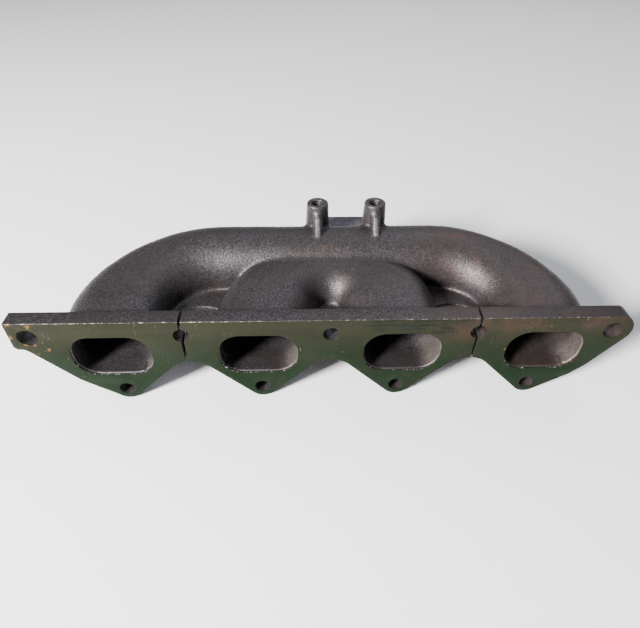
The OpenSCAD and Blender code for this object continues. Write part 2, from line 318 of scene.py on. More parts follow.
def skin_field(x, y, z):
    pipes = smooth_min(outer_arch.field(x, y, z), inner_field(x, y, z), 3.5)
    body = smooth_min(pipes, web_field(x, y, z), 6)
    body = smooth_min(body, outlet_field(x, y, z, *NECK_OUT), 8)
    plate = smooth_min(body, y - (FLANGE_T - 0.1), 5)
    lobes = np.abs(np.abs(np.abs(x) - LOWER_PITCH) - LOWER_PITCH / 2)
    within = np.maximum((lobes - z - 44.3) / math.sqrt(2), z - FLANGE_TOP + 1)
    plate = np.maximum(plate, np.maximum(body - 4.5, np.where(y < FLANGE_T + 4, within, -1e3)))
    body = np.where(y < FLANGE_T + 8, plate, body)
    for post in POSTS:
        stub = smooth_max(post_body(x, y, z, post), np.maximum(z - STUB_TOP, STUB_LOW - z), 2)
        body = smooth_min(body, stub + 0.15, 4.5)
        body = smooth_min(body, rib_field(x - post[0], y, z) + 0.12, 1.8)
        away = np.hypot(x - post[0], y - post[1])
        body = np.maximum(body, CLEAR_R - np.hypot(away, np.minimum(z - CLEAR_Z, 0)))
    body = np.maximum(body, np.maximum(FLANGE_T - 0.8 - y, y - OUTLET_FRONT - 0.6))
    liner = np.maximum(port_field(x, z) - 1.6, np.maximum(0.5 - y, y - FLANGE_T - 1))
    body = np.minimum(body, liner)
    return np.maximum(body, -gas_field(x, y, z))


# %% [markdown]
# ## From field to mesh
# Surface nets put one vertex in every grid cell that the surface crosses and join neighbours
# with quads, so the mesh is closed and even. Each vertex is then slid along the field's
# gradient until the field is zero there, which removes the grid's stepping.

# %% Surface nets


def surface_nets(field, low, high, cell):
    axes = [np.arange(lo, hi + cell, cell) for lo, hi in zip(low, high)]
    grid = np.meshgrid(axes[0], axes[1], indexing="ij")
    x, y, z = grid[0][:, :, None], grid[1][:, :, None], axes[2][None, None, :]
    values = field(x, y, z) + np.zeros((1, 1, len(axes[2])))
    inside = values < 0
    cells = tuple(n - 1 for n in values.shape)
    total = np.zeros(cells + (3,))
    count = np.zeros(cells)
    corners = [(i, j, k) for i in (0, 1) for j in (0, 1) for k in (0, 1)]

    def part(array, c):
        return array[c[0]:c[0] + cells[0], c[1]:c[1] + cells[1], c[2]:c[2] + cells[2]]

    for axis in range(3):
        for c in [c for c in corners if c[axis] == 0]:
            d = tuple(v + (n == axis) for n, v in enumerate(c))
            va, vb = part(values, c), part(values, d)
            crossed = (va < 0) != (vb < 0)
            t = np.where(crossed, va / np.where(crossed, va - vb, 1), 0)
            for n in range(3):
                total[..., n] += np.where(crossed, c[n] + (t if n == axis else 0), 0)
            count += crossed
    active = count > 0
    index = np.full(cells, -1)
    index[active] = np.arange(active.sum())
    where = np.argwhere(active)
    points = (where + total[active] / count[active][:, None]) * cell + np.array(low)
    quads = []
    for axis in range(3):
        b, c = (axis + 1) % 3, (axis + 2) % 3
        here = [slice(None)] * 3
        there = [slice(None)] * 3
        here[axis], there[axis] = slice(0, -1), slice(1, None)
        change = inside[tuple(here)].astype(int) - inside[tuple(there)].astype(int)
        for sign in (1, -1):
            edges = np.argwhere(change == sign)
            keep = (edges[:, b] > 0) & (edges[:, c] > 0)
            keep &= (edges[:, b] < cells[b]) & (edges[:, c] < cells[c])
            edges = edges[keep]
            ring = []
            for db, dc in ((-1, -1), (0, -1), (0, 0), (-1, 0)):
                shift = np.zeros(3, int)
                shift[b], shift[c] = db, dc
                ring.append(index[tuple((edges + shift).T)])
            quads.append(np.stack(ring if sign == 1 else ring[::-1], -1))
    return points, np.concatenate(quads)


def field_normals(field, points, step=0.05):
    x, y, z = points.T
    slope = np.stack([field(x + step, y, z) - field(x - step, y, z),
                      field(x, y + step, z) - field(x, y - step, z),
                      field(x, y, z + step) - field(x, y, z - step)], -1) / (2 * step)
    length = np.linalg.norm(slope, axis=1, keepdims=True)
    return slope / np.maximum(length, 0.3)


def settle(field, points, cell, passes=3):
    for _ in range(passes):
        normals = field_normals(field, points)
        gap = field(*points.T)
        points = points - normals * np.clip(gap, -cell / 2, cell / 2)[:, None]
    return points


# %% [markdown]
# ## Sand texture in the mesh itself
# A sand mould leaves low swells and small lumps. They are pushed into the mesh here, so that the
# outline carries them too, and the finer grain is left to the material. The swell fades out
# beside the machined flange, where the two meet.

# %% Cast swell
SWELLS = ((0.22, 0.045), (0.10, 0.16), (0.06, 0.42))  # height in mm, waves in one mm
SWELL_FADE = 6


def cast_swell(points, normals):
    out = points.copy()
    for i, p in enumerate(points):
        v = Vector(p)
        swell = sum(height * noise.noise(v * pace) for height, pace in SWELLS)
        out[i] += normals[i] * swell * min(max((p[1] - FLANGE_T) / SWELL_FADE, 0), 1)
    return out


def make_mesh(name, points, faces):
    mesh = bpy.data.meshes.new(name)
    mesh.from_pydata((points * MM).tolist(), [], faces.tolist())
    mesh.validate()
    mesh.update()
    mesh.polygons.foreach_set("use_smooth", [True] * len(mesh.polygons))
    return stand(name, mesh)


# %% Casting skin
SKIN_CELL = 1.56
points, quads = surface_nets(skin_field, (-186, -1.2, -44), (186, OUTLET_FRONT + 4, 56), SKIN_CELL)
points = settle(skin_field, points, SKIN_CELL)
points = cast_swell(points, field_normals(skin_field, points))
casting = make_mesh("casting_skin", points, quads)
print("casting skin:", len(points), "vertices,", 2 * len(quads), "triangles")

# %% [markdown]
# ## Posts
# Each post and its rib are small and crisp, so they get a finer grid of their own. The threaded
# hole is blind, with a chamfer at its mouth. The casting's fillet already stands around the foot.

# %% Post pieces
HOLE_R = mounts["shield_post_hole_left"]["dims"]["r_mm"]
HOLE_DEPTH = 16.0
THREAD_DEPTH = 0.55


def post_field(post):
    def field(x, y, z):
        body = smooth_min(post_body(x, y, z, post), rib_field(x - post[0], y, z), 2.2)
        away = np.hypot(x - post[0], y - post[1])
        hole = np.maximum(away - HOLE_R - THREAD_DEPTH, POST_TOP - HOLE_DEPTH - z)
        mouth = (away - HOLE_R - 1.5 + (POST_TOP - z)) / math.sqrt(2)
        body = smooth_max(body, -np.minimum(hole, mouth), 0.8)
        return np.maximum(body, 28.5 - z)
    return field


POST_CELL = 0.55
posts = []
for side, post in zip(("left", "right"), POSTS):
    low = (post[0] - 11, 74, 26)
    high = (post[0] + 11, post[1] + 11, POST_TOP + 2)
    field = post_field(post)
    points, quads = surface_nets(field, low, high, POST_CELL)
    points = settle(field, points, POST_CELL)
    posts.append(make_mesh(f"post_{side}", points, quads))
    print("post", side, 2 * len(quads), "triangles")

# %% [markdown]
# ## Head flange
# The flange is flat and machined, so it is drawn as a filled outline with holes, given its
# thickness, and its edges are rounded a little, as a file or the mill leaves them. A 2D curve
# does all three, and keeps the big faces truly flat.

# %% Flange outline


def arc(centre, radius, start, end, steps=16):
    turn = np.radians(np.linspace(start, end, steps + 1))
    return [(centre[0] + radius * math.cos(t), centre[1] + radius * math.sin(t)) for t in turn]


def rounded_opening(x, w, h, r):
    corners = []
    for sx, sz, start in ((1, 1, 0), (-1, 1, 90), (-1, -1, 180), (1, -1, 270)):
        corners += arc((x + sx * (w / 2 - r), sz * (h / 2 - r)), r, start, start + 90, 14)
    return corners


LOBE_R = 9.3
GAP_TOP = -5.4
GAP_R = (LOWER_PITCH / 2 - LOBE_R * math.sqrt(2) - (GAP_TOP - LOWER_Z)) / (math.sqrt(2) - 1)


def lower_edge(low_k, high_k):
    """Lobes and arched gaps from lobe low_k to lobe high_k, counted in lobe pitches."""
    out = []
    k = low_k
    while k <= high_k:
        on_lobe = abs(k - round(k)) > 0.25
        centre = (k * LOWER_PITCH, LOWER_Z if on_lobe else GAP_TOP - GAP_R)
        out += arc(centre, LOBE_R, 225, 315) if on_lobe else arc(centre, GAP_R, 135, 45)
        k += 0.5
    return out


def clip_outline(outline, low_x, high_x):
    """Cuts an outline with two upright lines."""
    for keep, x_cut in ((1, low_x), (-1, high_x)):
        out = []
        for p, q in zip(outline, outline[1:] + outline[:1]):
            p_in, q_in = keep * (p[0] - x_cut) >= 0, keep * (q[0] - x_cut) >= 0
            if p_in:
                out.append(p)
            if p_in != q_in:
                t = (x_cut - p[0]) / (q[0] - p[0])
                out.append((x_cut, p[1] + t * (q[1] - p[1])))
        outline = out
    return outline


left_end = [(FLANGE_LOW[0], FLANGE_TOP), (FLANGE_LOW[0], 9.5), (-195.8, 7.5), (-191.5, 7),
            (-188.8, 4.6), (-165.5, -21.3), (-161, -24.8)]
right_end = [(164, -23.2), (172.1, -14.8)] + arc((END_MID + END_HALF, UPPER_Z), 12.4, -30, 70)
flange_outline = left_end + lower_edge(-1.5, 1.5) + right_end
print("gap radius", round(GAP_R, 2), "outline points", len(flange_outline))

# %% Flange pieces


def filled_plate(name, outlines, thickness, edge):
    """A flat plate that lies in XZ from y = 0 to y = thickness, with its edges rounded by edge."""
    curve = bpy.data.curves.new(name, "CURVE")
    curve.dimensions = "2D"
    curve.fill_mode = "BOTH"
    curve.extrude = (thickness / 2 - edge) * MM
    curve.bevel_depth = edge * MM
    curve.bevel_resolution = 2
    curve.offset = -edge * MM
    for outline in outlines:
        spline = curve.splines.new("POLY")
        spline.points.add(len(outline) - 1)
        for point, (x, z) in zip(spline.points, outline):
            point.co = (x * MM, z * MM, 0, 1)
        spline.use_cyclic_u = True
    maker = stand(name, curve)
    bpy.context.view_layer.update()
    mesh = bpy.data.meshes.new_from_object(maker.evaluated_get(bpy.context.evaluated_depsgraph_get()))
    bpy.data.objects.remove(maker)
    # (x, z, depth) becomes (x, depth, z); swapping two axes mirrors, so the faces are turned back
    mesh.transform(Matrix(((1, 0, 0, 0), (0, 0, 1, thickness / 2 * MM), (0, 1, 0, 0), (0, 0, 0, 1))))
    mesh.flip_normals()
    bm = bmesh.new()
    bm.from_mesh(mesh)
    bmesh.ops.remove_doubles(bm, verts=bm.verts, dist=0.00002)
    bm.normal_update()
    for edge_line in bm.edges:
        flat = edge_line.is_manifold and edge_line.calc_face_angle(0) < math.radians(32)
        edge_line.smooth = flat
    bm.to_mesh(mesh)
    bm.free()
    mesh.polygons.foreach_set("use_smooth", [True] * len(mesh.polygons))
    return stand(name, mesh)


def circle(x, z, r):
    return arc((x, z), r, 0, 360 - 360 / 40, 39)


FLANGE_EDGE = 0.3


def flange_piece(name, low_x, high_x):
    outlines = [clip_outline(flange_outline, low_x, high_x)]
    for k in (-1.5, -0.5, 0.5, 1.5):
        if low_x < k * PORT_PITCH < high_x:
            outlines.append(rounded_opening(k * PORT_PITCH, PORT_W, PORT_H, PORT_R))
            outlines.append(circle(k * LOWER_PITCH, LOWER_Z, STUD_R))
    for x, r in ((0, STUD_R), (END_MID - END_HALF, END_R), (END_MID + END_HALF, END_R)):
        if low_x < x < high_x:
            outlines.append(circle(x, UPPER_Z, r))
    outlines[0] = notch_holes(outlines[0], low_x, high_x)
    return filled_plate(name, outlines, FLANGE_T, FLANGE_EDGE)


def notch_holes(outline, low_x, high_x):
    """The holes on the saw cuts bite a part-circle out of each segment's cut side."""
    out = []
    for i, p in enumerate(outline):
        q = outline[(i + 1) % len(outline)]
        out.append(p)
        for cut, side in ((low_x, 1), (high_x, -1)):
            if abs(p[0] - cut) < 1e-6 and abs(q[0] - cut) < 1e-6:
                centre = (math.copysign(SLIT_X, cut), UPPER_Z)
                half = math.degrees(math.acos(abs(cut - centre[0]) / STUD_R))
                turn = arc(centre, STUD_R, -half, half, 30)
                if side < 0:
                    turn = [(2 * centre[0] - x, z) for x, z in turn]
                out += turn if q[1] > p[1] else turn[::-1]
    return out


SLIT_HALF = SLIT_X - box_mm("flange_centre")[1][0]
FAR = 1000
cuts = [-FAR, -SLIT_X, SLIT_X, FAR]
flange = []
for name, low_x, high_x in zip(("left", "centre", "right"), cuts[:-1], cuts[1:]):
    plate = flange_piece(f"head_flange_{name}", low_x + SLIT_HALF, high_x - SLIT_HALF)
    flange.append(plate)
    print("flange", name, len(plate.data.polygons), "faces")

# %% [markdown]
# ## Outlet flange
# A four-bolt plate: its outline is the hull of four corner circles, which convex corners make
# easy, so the arcs are simply joined in order.

# %% Outlet flange piece
UPPER_BOLT = mounts["outlet_bolts_upper"]
LOWER_BOLT = mounts["outlet_bolts_lower"]
CORNER_R = 10.0
bolt_r = UPPER_BOLT["dims"]["hole_r_mm"]
top_half = UPPER_BOLT["dims"]["spacing_x_mm"] / 2
low_half = LOWER_BOLT["dims"]["spacing_x_mm"] / 2
top_z = UPPER_BOLT["pos_m"][2] / MM
low_z = LOWER_BOLT["pos_m"][2] / MM
lean = math.degrees(math.atan2(low_half - top_half, top_z - low_z))
corner_turns = (((1, top_z, top_half), lean, 90), ((-1, top_z, top_half), 90, 180 - lean),
                ((-1, low_z, low_half), 180 - lean, 270), ((1, low_z, low_half), 270, 360 + lean))
plate_outline = []
bolt_holes = []
for (sx, z, half), start, end in corner_turns:
    plate_outline += arc((OUTLET[0] + sx * half, z), CORNER_R, start, end, 12)
    bolt_holes.append(circle(OUTLET[0] + sx * half, z, bolt_r))
outlet_hole = arc((OUTLET[0], OUTLET[2]), 21.0, 0, 356, 89)
outlet_plate = filled_plate("outlet_plate", [plate_outline, outlet_hole] + bolt_holes,
                            OUTLET_BACK - OUTLET_FRONT, 0.8)
outlet_plate.data.transform(Matrix.Translation((0, OUTLET_FRONT * MM, 0)))
print("outlet plate", len(outlet_plate.data.polygons), "faces")

# %% [markdown]
# ## Materials
# Bare grey iron is a rough, dark metal. The cast skin scatters light off sand grain, so it has a
# broad sheen, faint brown rust bloom and tiny bright grains. All patterns read Object
# coordinates, which are metres in the shared frame, so a scale of 1000 gives one cell a
# millimetre. Four mixes of one recipe do for the whole casting: the skin; the posts, whose rib
# fronts are bright, partly as rubbed metal and partly as painted highlight; the port linings,
# with painted light in a pale colour on the walls that face left; and the outlet, a lighter,
# bluer copy whose tint is painted sky light on its up-facing top edge.

# %% Node helpers


class Maker:
    """Adds nodes to a material's tree with short calls."""

    def __init__(self, name):
        self.material = bpy.data.materials.new(name)
        self.material.use_nodes = True
        self.tree = self.material.node_tree
        self.tree.nodes.clear()
        self.place = self.tree.nodes.new("ShaderNodeTexCoord").outputs["Object"]
        self.surface = self.tree.nodes.new("ShaderNodeBsdfPrincipled")
        output = self.tree.nodes.new("ShaderNodeOutputMaterial")
        self.link(self.surface.outputs[0], output.inputs[0])

    def link(self, a, b):
        self.tree.links.new(a, b)

    def put(self, socket, value):
        if isinstance(value, bpy.types.NodeSocket):
            self.link(value, socket)
        elif value is not None:
            socket.default_value = value

    def noise(self, scale, detail=2.0, rough=0.5, where=None, distortion=0.0):
        node = self.tree.nodes.new("ShaderNodeTexNoise")
        self.put(node.inputs["Vector"], where or self.place)
        self.put(node.inputs["Scale"], scale)
        self.put(node.inputs["Detail"], detail)
        self.put(node.inputs["Roughness"], rough)
        self.put(node.inputs["Distortion"], distortion)
        return node.outputs["Fac"]

    def cells(self, scale):
        node = self.tree.nodes.new("ShaderNodeTexVoronoi")
        self.put(node.inputs["Vector"], self.place)
        self.put(node.inputs["Scale"], scale)
        return node.outputs["Distance"]

    def math(self, operation, a, b=None):
        node = self.tree.nodes.new("ShaderNodeMath")
        node.operation = operation
        for socket, value in zip(node.inputs, (a, b)):
            self.put(socket, value)
        return node.outputs[0]

    def span(self, value, low, high, to_low=0.0, to_high=1.0):
        node = self.tree.nodes.new("ShaderNodeMapRange")
        node.interpolation_type = "SMOOTHSTEP"
        for name, v in (("Value", value), ("From Min", low), ("From Max", high),
                        ("To Min", to_low), ("To Max", to_high)):
            self.put(node.inputs[name], v)
        return node.outputs[0]

    def blend(self, amount, a, b):
        node = self.tree.nodes.new("ShaderNodeMix")
        node.data_type = "RGBA"
        self.put(node.inputs["Factor"], amount)
        self.put(node.inputs[6], a)
        self.put(node.inputs[7], b)
        return node.outputs[2]

    def axes(self):
        node = self.tree.nodes.new("ShaderNodeSeparateXYZ")
        self.put(node.inputs[0], self.place)
        return node.outputs[0], node.outputs[1], node.outputs[2]

    def facing(self, axis):
        """One axis of the surface normal in object space, from -1 to 1."""
        coordinates = self.tree.nodes.new("ShaderNodeTexCoord")
        node = self.tree.nodes.new("ShaderNodeSeparateXYZ")
        self.put(node.inputs[0], coordinates.outputs["Normal"])
        return node.outputs[axis]

    def stretched(self, sx, sy, sz):
        node = self.tree.nodes.new("ShaderNodeVectorMath")
        node.operation = "MULTIPLY"
        self.put(node.inputs[0], self.place)
        self.put(node.inputs[1], (sx, sy, sz))
        return node.outputs[0]

    def bump(self, height, distance, strength=1.0, below=None):
        node = self.tree.nodes.new("ShaderNodeBump")
        self.put(node.inputs["Height"], height)
        self.put(node.inputs["Distance"], distance)
        self.put(node.inputs["Strength"], strength)
        if below is not None:
            self.put(node.inputs["Normal"], below)
        return node.outputs[0]

    def set(self, **sockets):
        for name, value in sockets.items():
            self.put(self.surface.inputs[name.replace("_", " ")], value)


def rgb(r, g, b):
    return (r, g, b, 1.0)


# %% Cast iron


def cast_iron(name, tone=1.0, rust=1.0, painted_sky_blue=1.0, polish=0.0, painted_wall_light=0.0, rubbed_and_highlight=0.0):
    m = Maker(name)
    grain = m.noise(1050, 3, 0.68)
    coarse = m.noise(420, 3, 0.6)
    patch = m.noise(26, 3, 0.55)
    bloom = m.noise(45, 4, 0.6, distortion=0.4)
    dark = rgb(0.022 * tone, 0.0195 * tone, 0.0215 * tone * painted_sky_blue)
    light = rgb(0.094 * tone, 0.084 * tone, 0.091 * tone * painted_sky_blue)
    colour = m.blend(m.span(grain, 0.32, 0.70), dark, light)
    colour = m.blend(m.span(patch, 0.40, 0.66, 0.0, 0.6), colour,
                     rgb(0.050 * tone, 0.041 * tone, 0.040 * tone))
    warm = m.math("MULTIPLY", m.span(m.axes()[0], 0.02, 0.13), m.span(bloom, 0.35, 0.65, 0.15, 0.75))
    colour = m.blend(warm, colour, rgb(0.074 * tone, 0.051 * tone, 0.046 * tone))
    colour = m.blend(m.span(bloom, 0.66, 0.80, 0.0, 0.30 * rust), colour, rgb(0.14, 0.055, 0.035))
    # Bright colour on the front-facing noses of the post ribs: rubbed metal, and partly a painted highlight
    # where the front light falls.
    if rubbed_and_highlight:
        middle = (POSTS[0][0] + POSTS[1][0]) / 2 * MM
        apart = (POSTS[1][0] - POSTS[0][0]) / 2 * MM
        x, _, z = m.axes()
        aside = m.math("ABSOLUTE", m.math("SUBTRACT", x, middle))
        aside = m.math("ABSOLUTE", m.math("SUBTRACT", aside, apart))
        edge = m.math("MULTIPLY", m.span(m.facing(1), -0.55, -0.90), m.span(grain, 0.25, 0.60, 0.3, rubbed_and_highlight))
        edge = m.math("MULTIPLY", edge, m.span(aside, 0.0034, 0.0022))
        edge = m.math("MULTIPLY", edge, m.span(z, (POST_TOP - 6) * MM, (POST_TOP - 8) * MM))
        colour = m.blend(edge, colour, rgb(0.42, 0.39, 0.38))
    # Pale colour on the port walls that face left, near the mouth, is painted light: it stands for the key
    # light falling into the ports.
    if painted_wall_light:
        depth = m.axes()[1]
        across = m.math("MULTIPLY", m.span(depth, 0.036, 0.004), m.span(m.facing(0), -0.15, -0.85))
        painted_lit_wall = m.math("MULTIPLY", across, m.span(grain, 0.30, 0.60, 0.2, painted_wall_light))
        colour = m.blend(painted_lit_wall, colour, rgb(0.25, 0.21, 0.19))
    spark = m.span(m.cells(900), 0.16, 0.05)
    colour = m.blend(m.math("MULTIPLY", spark, 0.7), colour, rgb(0.30, 0.28, 0.27))
    m.set(Base_Color=colour, Metallic=0.72,
          Roughness=m.span(coarse, 0.3, 0.7, 0.41 - polish, 0.55 - polish))
    m.set(Normal=m.bump(grain, 0.00026, 0.85, m.bump(coarse, 0.00035, 0.55)))
    return m.material


CAST = cast_iron("cast_iron_skin", tone=0.84, rust=1.5)
# The post ribs' bright fronts are partly rubbed metal and partly painted highlight.
POST_IRON = cast_iron("cast_iron_post", tone=1.15, rust=0.3, polish=0.08, rubbed_and_highlight=0.95)
# The port lining's pale left-facing walls are painted light.
PORT_IRON = cast_iron("cast_iron_port_lit_wall", tone=0.9, painted_wall_light=0.6)
# The outlet plate's sides get a lighter, bluer copy of the iron: painted sky light on its up-facing top
# edge.
OUTLET_IRON = cast_iron("cast_iron_outlet_plate", tone=1.9, rust=0.3, painted_sky_blue=1.25)

# %% [markdown]
# ## Machined face
# A face mill leaves fine curved lines. Their phase is the distance along the flange less the arc
# of the cutter at that height, so the lines are parts of one circle that steps along X. The face
# runs from dark green below to olive above: a painted green reflection, with painted light on the
# top band. Old oil stains it in patches, with rust at the left end.

# %% Machined iron


def machined_iron(name):
    m = Maker(name)
    x, _, z = m.axes()
    cutter, cutter_z, feed = 0.055, 0.012, 0.0017
    drop = m.math("SUBTRACT", z, cutter_z)
    bow = m.math("SUBTRACT", cutter * cutter, m.math("MULTIPLY", drop, drop))
    bow = m.math("SQRT", m.math("MAXIMUM", bow, 0.0001))
    wander = m.math("MULTIPLY", m.noise(30, 2), 0.0012)
    phase = m.math("ADD", m.math("SUBTRACT", x, bow), wander)
    lines = m.math("SINE", m.math("MULTIPLY", phase, 2 * math.pi / feed))
    depth = m.span(m.noise(24, 2), 0.40, 0.62, 0.1, 1.0)
    lines = m.math("MULTIPLY", lines, depth)
    stain = m.noise(60, 4, 0.6, distortion=0.6)
    # Dark green below to olive above, wobbled by the stain noise: a painted green reflection, with painted
    # light along the top.
    painted_reflection_height = m.math("ADD", z, m.math("MULTIPLY", m.math("SUBTRACT", stain, 0.5), 0.022))
    colour = m.blend(m.span(painted_reflection_height, -0.018, 0.030), rgb(0.001, 0.0085, 0.0015), rgb(0.013, 0.0128, 0.0058))
    colour = m.blend(m.span(stain, 0.45, 0.75, 0.0, 0.6), colour, rgb(0.014, 0.014, 0.008))
    colour = m.blend(m.span(lines, 0.0, 1.0, 0.0, 0.20), colour, rgb(0.036, 0.040, 0.022))
    grain = m.noise(900, 3, 0.6)
    colour = m.blend(m.span(grain, 0.5, 0.8, 0.0, 0.4), colour, rgb(0.012, 0.013, 0.010))
    # a brown bloom along the top of the right half
    bloom = m.math("MULTIPLY", m.span(z, 0.004, 0.018), m.span(x, 0.055, 0.085))
    bloom = m.math("MULTIPLY", bloom, m.span(m.noise(38, 4, 0.65), 0.42, 0.62, 0.0, 0.7))
    colour = m.blend(bloom, colour, rgb(0.034, 0.019, 0.013))
    # oil and soot scraped along the face, thickest above the third port
    streak = m.noise(1.0, 4, 0.7, where=m.stretched(55, 55, 520), distortion=0.8)
    beside = m.math("ABSOLUTE", m.math("SUBTRACT", x, 0.052))
    place = m.math("MULTIPLY", m.span(z, 0.010, 0.019), m.span(beside, 0.040, 0.018))
    amount = m.math("ADD", m.math("MULTIPLY", place, 0.16), -0.64)
    soot = m.span(m.math("ADD", streak, amount), 0.0, 0.05, 0.0, 0.95)
    colour = m.blend(soot, colour, rgb(0.006, 0.008, 0.006))
    scratch = m.noise(1.0, 2, 0.5, where=m.stretched(900, 900, 60), distortion=1.5)
    scratch = m.span(scratch, 0.72, 0.78, 0.0, 0.35)
    colour = m.blend(scratch, colour, rgb(0.22, 0.22, 0.19))
    rusty = m.math("ADD", m.span(x, -0.150, -0.185, 0.0, 0.10), m.span(x, 0.060, 0.110, 0.0, 0.035))
    rust = m.span(m.math("ADD", m.noise(200, 3, 0.6), rusty), 0.68, 0.79, 0.0, 0.75)
    colour = m.blend(rust, colour, rgb(0.17, 0.080, 0.025))
    m.set(Base_Color=colour, Metallic=0.14, Specular_IOR_Level=0.10,
          Roughness=m.span(stain, 0.3, 0.7, 0.50, 0.66))
    m.set(Normal=m.bump(lines, 0.000035, 0.8, m.bump(grain, 0.00006, 0.5)))
    return m.material


MACHINED = machined_iron("machined_iron_face")

# %% [markdown]
# ## Outlet face and worn edge
# The outlet's face is turned, so its marks are rings about the bore. The worn edge is the bright
# metal that shows where an arris has been knocked.

# %% Turned iron

def turned_iron(name):
    """Bare grey metal with the rings of a facing cut round the outlet."""
    m = Maker(name)
    x, _, z = m.axes()
    dx = m.math("SUBTRACT", x, OUTLET[0] * MM)
    dz = m.math("SUBTRACT", z, OUTLET[2] * MM)
    reach = m.math("SQRT", m.math("ADD", m.math("MULTIPLY", dx, dx), m.math("MULTIPLY", dz, dz)))
    rings = m.math("SINE", m.math("MULTIPLY", reach, 2 * math.pi / 0.0009))
    grain = m.noise(900, 3, 0.6)
    stain = m.noise(70, 4, 0.6, distortion=0.5)
    colour = m.blend(m.span(rings, -1.0, 1.0), rgb(0.17, 0.165, 0.16), rgb(0.27, 0.265, 0.255))
    colour = m.blend(m.span(stain, 0.5, 0.75, 0.0, 0.6), colour, rgb(0.11, 0.085, 0.065))
    m.set(Base_Color=colour, Metallic=0.85, Roughness=m.span(stain, 0.3, 0.7, 0.34, 0.5))
    m.set(Normal=m.bump(rings, 0.00003, 0.8, m.bump(grain, 0.00005, 0.5)))
    return m.material


TURNED = turned_iron("turned_iron_outlet_face")

# %% Worn edge


def worn_edge(name):
    m = Maker(name)
    nick = m.noise(240, 4, 0.75)
    colour = m.blend(m.span(nick, 0.50, 0.64), rgb(0.055, 0.053, 0.050), rgb(0.34, 0.31, 0.28))
    m.set(Base_Color=colour, Metallic=0.8, Roughness=0.42)
    m.set(Normal=m.bump(nick, 0.00025, 0.7))
    return m.material


WORN = worn_edge("worn_bright_edge")

# %% [markdown]
# ## Which face gets which finish
# The front of the flange and the back of the outlet plate are machined; their sides are cast
# skin; the narrow rounded edge between front and top is rubbed bright.

# %% Finishes on faces
PORT_LINING_DEPTH, PORT_LINING_REACH = 38, 2.5


def finish_plate(plate, machined_sign, side_iron, face_iron):
    for material in (side_iron, face_iron, WORN):
        plate.data.materials.append(material)
    for face in plate.data.polygons:
        toward = face.normal.y * machined_sign
        if toward > 0.98:
            face.material_index = 1
        elif 0.25 < toward:
            face.material_index = 2 if face.center.z > (FLANGE_TOP - 1) * MM else 1


for plate in flange:
    finish_plate(plate, -1, CAST, MACHINED)
finish_plate(outlet_plate, 1, OUTLET_IRON, TURNED)
casting.data.materials.append(CAST)
casting.data.materials.append(PORT_IRON)
middles = np.empty(len(casting.data.polygons) * 3)
casting.data.polygons.foreach_get("center", middles)
middles = middles.reshape(-1, 3) / MM
in_port = (middles[:, 1] < PORT_LINING_DEPTH) & (port_field(middles[:, 0], middles[:, 2]) < PORT_LINING_REACH)
casting.data.polygons.foreach_set("material_index", in_port.astype(int))
for piece in posts:
    piece.data.materials.append(POST_IRON)

# %% [markdown]
# ## Small things that repeat
# The real casting carries details that a maker would never model one by one: thread turns in the
# post holes, a thin fin where the two halves of the sand mould met, grit stuck to the skin, and
# nicks along the flange's front edges. Geometry Nodes make each of them from one rule, so a
# change of size is a change of one number. The node result is baked to a plain mesh.

# %% Node tree helper


class NodeTree:
    """Builds a Geometry Nodes tree and bakes it on a mesh."""

    def __init__(self, name):
        self.group = bpy.data.node_groups.new(name, "GeometryNodeTree")
        self.group.interface.new_socket("Geometry", in_out="INPUT", socket_type="NodeSocketGeometry")
        self.group.interface.new_socket("Geometry", in_out="OUTPUT", socket_type="NodeSocketGeometry")
        self.start = self.group.nodes.new("NodeGroupInput")
        self.end = self.group.nodes.new("NodeGroupOutput")
        self.values = {}

    def size(self, label, value, kind="Float"):
        item = self.group.interface.new_socket(label, in_out="INPUT", socket_type=f"NodeSocket{kind}")
        self.values[item.identifier] = value
        return self.start.outputs[label]

    def add(self, kind, out=0, settings=(), **inputs):
        node = self.group.nodes.new(kind)
        for key, value in dict(settings).items():
            setattr(node, key, value)
        for label, value in inputs.items():
            numbered = label[0] == "i" and label[1:].isdigit()
            socket = node.inputs[int(label[1:]) if numbered else label.replace("_", " ")]
            if isinstance(value, bpy.types.NodeSocket):
                self.group.links.new(value, socket)
            else:
                socket.default_value = value
        return node.outputs[out]

    def random_vector(self, low, high, seed):
        return self.add("FunctionNodeRandomValue", settings={"data_type": "FLOAT_VECTOR"},
                        i0=low, i1=high, Seed=seed)

    def bake(self, name, geometry, material, source=None):
        whole = self.add("GeometryNodeRealizeInstances", Geometry=geometry)
        painted = self.add("GeometryNodeSetMaterial", Geometry=whole, Material=material)
        self.group.links.new(painted, self.end.inputs[0])
        maker = stand(name, source or bpy.data.meshes.new(name + "_start"))
        modifier = maker.modifiers.new("rule", "NODES")
        modifier.node_group = self.group
        for identifier, value in self.values.items():
            modifier[identifier] = value
        bpy.context.view_layer.update()
        mesh = bpy.data.meshes.new_from_object(maker.evaluated_get(bpy.context.evaluated_depsgraph_get()))
        bpy.data.objects.remove(maker)
        piece = stand(name, mesh)
        print(name, sum(len(p.vertices) - 2 for p in mesh.polygons), "triangles")
        return piece


def polyline(name, chains):
    """A mesh of edges only, in metres, for a tree that follows paths."""
    points, edges = [], []
    for chain in chains:
        first = len(points)
        points += [tuple(v * MM for v in p) for p in chain]
        edges += [(first + i, first + i + 1) for i in range(len(chain) - 1)]
    mesh = bpy.data.meshes.new(name)
    mesh.from_pydata(points, edges, [])
    return mesh


# %% [markdown]
# ## Thread turns
# The posts are tapped M8, one turn every 1.25 mm. A spiral curve with a small three-sided profile
# is the ridge of the thread. It lines the wall of the hole from just under the chamfer.

# %% Threads
THREAD_PITCH, THREAD_TURNS = 1.25, 10


